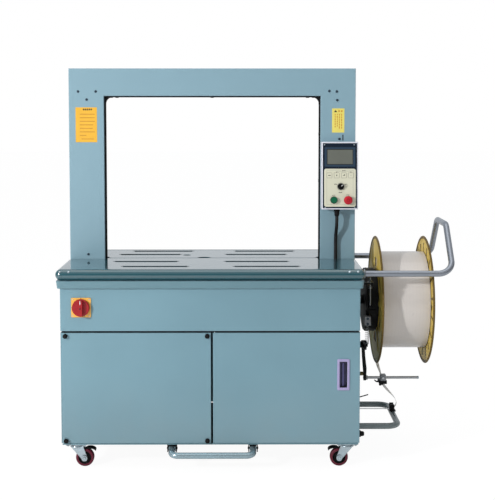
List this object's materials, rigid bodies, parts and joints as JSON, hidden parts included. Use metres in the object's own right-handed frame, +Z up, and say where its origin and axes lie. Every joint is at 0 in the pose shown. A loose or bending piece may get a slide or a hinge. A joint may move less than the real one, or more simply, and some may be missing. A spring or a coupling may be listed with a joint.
{
  "type": "arch strapping machine",
  "caption": "Arch type box strapping machine with a table, a cabinet on casters, an operator panel on the column and a strap reel on a braked spindle at the side.",
  "frame": {"origin": "bottom centre of the whole machine box, on the floor", "axes": "+X to the operator's right towards the reel, +Y away from the operator, +Z up"},
  "size_m": [1.4219, 0.623, 1.431],
  "materials": {
    "painted_steel": "satin",
    "gloss_paint": "gloss",
    "frame_paint": "satin",
    "light_metal": "satin",
    "fascia_navy": "satin",
    "overlay_cream": "matte",
    "lcd": "gloss",
    "black_plastic": "matte",
    "black_steel": "satin",
    "zinc": "satin",
    "handle_grey": "satin",
    "guard_grey": "satin",
    "foot_bar_teal": "satin",
    "brass_tube": "satin",
    "switch_yellow": "gloss",
    "switch_red": "gloss",
    "button_green": "gloss",
    "latch_violet": "satin",
    "reel_yellow": "satin",
    "strap": "satin",
    "cable_rubber": "matte",
    "wheel_pu": "satin"
  },
  "bodies": {
    "cabinet": {"arch_front_cover": "painted_steel", "arch_rear_cover": "painted_steel", "arch_strap_track": "black_plastic", "brake_band": "black_steel", "brake_bracket": "black_steel", "brake_spring": "zinc", "cabinet_frame": "frame_paint", "cable_glands": "black_plastic", "caster_plates": "zinc", "control_box": "light_metal", "control_cable": "cable_rubber", "control_fascia": "fascia_navy", "control_panel": "overlay_cream", "deck_plate": "frame_paint", "drive_motor": "black_steel", "foot_bar_brackets": "black_steel", "front_left_panel": "painted_steel", "front_table": "gloss_paint", "guard_handle": "handle_grey", "head_frame": "frame_paint", "hinge_pins": "zinc", "incoming_strap": "strap", "lcd_window": "lcd", "left_side_panel": "painted_steel", "lever_stop_tube": "brass_tube", "lower_guard_tube": "guard_grey", "machine_screws": "zinc", "panel_knobs": "black_plastic", "rear_deck": "gloss_paint", "rear_panel": "painted_steel", "reel_spindle": "zinc", "right_side_panel": "painted_steel", "strap_guide_bracket": "black_plastic", "strap_pool_box": "black_plastic", "switch_plate": "switch_yellow", "upper_housing": "painted_steel"},
    "door": {"access_door": "painted_steel", "door_handle": "latch_violet"},
    "rear_lid": {"rear_table": "gloss_paint"},
    "main_switch": {"main_switch_knob": "switch_red"},
    "selector": {"selector_knob": "black_plastic"},
    "start_key": {"start_button": "button_green"},
    "stop_key": {"stop_button": "switch_red"},
    "reel": {"reel_hub": "black_steel", "reel_left_flange": "reel_yellow", "reel_right_flange": "reel_yellow", "strap_coil": "strap", "reel_nut": "black_plastic"},
    "brake_arm": {"brake_lever": "zinc"},
    "roller": {"guide_roller": "black_plastic"},
    "pedal_bar": {"foot_bar": "foot_bar_teal"},
    "cams": {"cam_shaft": "zinc"},
    "fork_front_left": {"caster_fork_front_left": "zinc"},
    "wheel_front_left": {"caster_wheel_front_left": "wheel_pu"},
    "fork_front_right": {"caster_fork_front_right": "zinc"},
    "wheel_front_right": {"caster_wheel_front_right": "wheel_pu"},
    "fork_rear_left": {"caster_fork_rear_left": "zinc"},
    "wheel_rear_left": {"caster_wheel_rear_left": "wheel_pu"},
    "fork_rear_right": {"caster_fork_rear_right": "zinc"},
    "wheel_rear_right": {"caster_wheel_rear_right": "wheel_pu"}
  },
  "joints": [
    {"name": "door_swing", "type": "hinge", "parent": "cabinet", "child": "door", "pos_m": [-0.15, -0.2515, 0.3], "axis": [0, 0, -1], "range_deg": [0, 110]},
    {"name": "rear_lid_lift", "type": "hinge", "parent": "cabinet", "child": "rear_lid", "pos_m": [-0.165, 0.2795, 0.711], "axis": [-1, 0, 0], "range_deg": [0, 85]},
    {"name": "main_switch_turn", "type": "hinge", "parent": "cabinet", "child": "main_switch", "pos_m": [-0.62, -0.2705, 0.582], "axis": [0, -1, 0], "range_deg": [0, 90]},
    {"name": "selector_turn", "type": "hinge", "parent": "cabinet", "child": "selector", "pos_m": [0.3124, -0.04041, 0.99357], "axis": [0, -0.9982, 0.0601], "range_deg": [0, 90]},
    {"name": "start_press", "type": "slide", "parent": "cabinet", "child": "start_key", "axis": [0, 0.9982, -0.0601], "range_m": [0, 0.004], "stiffness_N_per_m": 600},
    {"name": "stop_press", "type": "slide", "parent": "cabinet", "child": "stop_key", "axis": [0, 0.9982, -0.0601], "range_m": [0, 0.005], "stiffness_N_per_m": 800},
    {"name": "reel_spin", "type": "hinge", "parent": "cabinet", "child": "reel", "pos_m": [0.535, 0.0295, 0.561], "axis": [1, 0, 0], "continuous": true},
    {"name": "brake_arm_swing", "type": "hinge", "parent": "cabinet", "child": "brake_arm", "pos_m": [0.405, -0.0305, 0.4], "axis": [1, 0, 0], "range_deg": [0, 12], "stiffness_Nm_per_rad": 30, "deforming": ["brake_spring", "incoming_strap"]},
    {"name": "roller_spin", "type": "hinge", "parent": "cabinet", "child": "roller", "pos_m": [0.521, 0.0495, 0.143], "axis": [0, 1, 0], "continuous": true},
    {"name": "foot_bar_press", "type": "hinge", "parent": "cabinet", "child": "pedal_bar", "pos_m": [-0.1585, -0.2325, 0.069], "axis": [1, 0, 0], "range_deg": [0, 10], "stiffness_Nm_per_rad": 60, "springref_deg": -5.73},
    {"name": "cam_spin", "type": "hinge", "parent": "cabinet", "child": "cams", "pos_m": [-0.125, -0.0605, 0.56], "axis": [1, 0, 0], "continuous": true},
    {"name": "caster_swivel_front_left", "type": "hinge", "parent": "cabinet", "child": "fork_front_left", "pos_m": [-0.645, -0.2155, 0.08], "axis": [0, 0, 1], "continuous": true},
    {"name": "wheel_spin_front_left", "type": "hinge", "parent": "fork_front_left", "child": "wheel_front_left", "pos_m": [-0.617, -0.2155, 0.0325], "axis": [0, 1, 0], "continuous": true},
    {"name": "caster_swivel_front_right", "type": "hinge", "parent": "cabinet", "child": "fork_front_right", "pos_m": [0.323, -0.2155, 0.08], "axis": [0, 0, 1], "continuous": true},
    {"name": "wheel_spin_front_right", "type": "hinge", "parent": "fork_front_right", "child": "wheel_front_right", "pos_m": [0.295, -0.2155, 0.0325], "axis": [0, 1, 0], "continuous": true},
    {"name": "caster_swivel_rear_left", "type": "hinge", "parent": "cabinet", "child": "fork_rear_left", "pos_m": [-0.645, 0.2545, 0.08], "axis": [0, 0, 1], "continuous": true},
    {"name": "wheel_spin_rear_left", "type": "hinge", "parent": "fork_rear_left", "child": "wheel_rear_left", "pos_m": [-0.617, 0.2545, 0.0325], "axis": [0, 1, 0], "continuous": true},
    {"name": "caster_swivel_rear_right", "type": "hinge", "parent": "cabinet", "child": "fork_rear_right", "pos_m": [0.323, 0.2545, 0.08], "axis": [0, 0, 1], "continuous": true},
    {"name": "wheel_spin_rear_right", "type": "hinge", "parent": "fork_rear_right", "child": "wheel_rear_right", "pos_m": [0.295, 0.2545, 0.0325], "axis": [0, 1, 0], "continuous": true}
  ]
}
